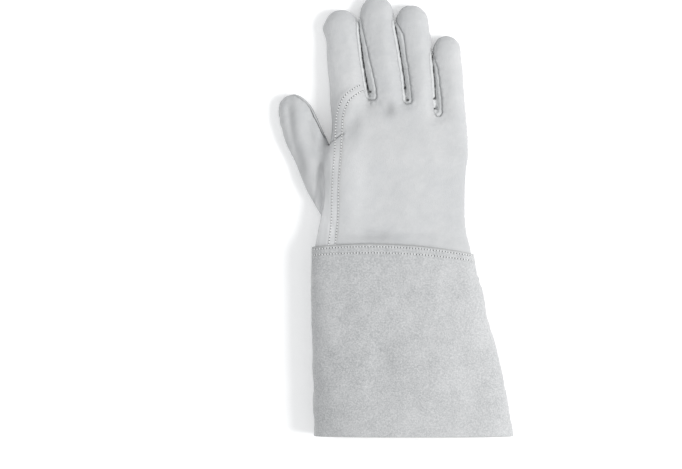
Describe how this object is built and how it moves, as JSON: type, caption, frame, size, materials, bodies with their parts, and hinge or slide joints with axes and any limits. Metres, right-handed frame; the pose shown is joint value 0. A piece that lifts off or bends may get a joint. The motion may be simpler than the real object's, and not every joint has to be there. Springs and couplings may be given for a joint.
{
  "type": "tig welding glove",
  "caption": "Right-hand gauntlet glove of thin grain leather with a flared suede cuff, lying palm down and open at the cuff.",
  "frame": {"origin": "centre of the glove's bounding box in plan, on the surface that it lies on", "axes": "+Y from the cuff to the fingertips, +Z out of the back of the hand, the thumb towards -X"},
  "size_m": [0.1885, 0.3514, 0.0476],
  "materials": {
    "grain_leather": "soft matt grain, pale grey",
    "split_leather": "napped suede, mottled grey"
  },
  "bodies": {
    "root": {"palm_panel": "grain_leather", "back_panel": "grain_leather", "thumb_panel": "grain_leather", "middle_finger_front": "grain_leather", "ring_finger_front": "grain_leather", "fourchette_index_middle": "grain_leather", "fourchette_middle_ring": "grain_leather", "fourchette_ring_little": "grain_leather", "cuff": "split_leather"}
  },
  "joints": []
}
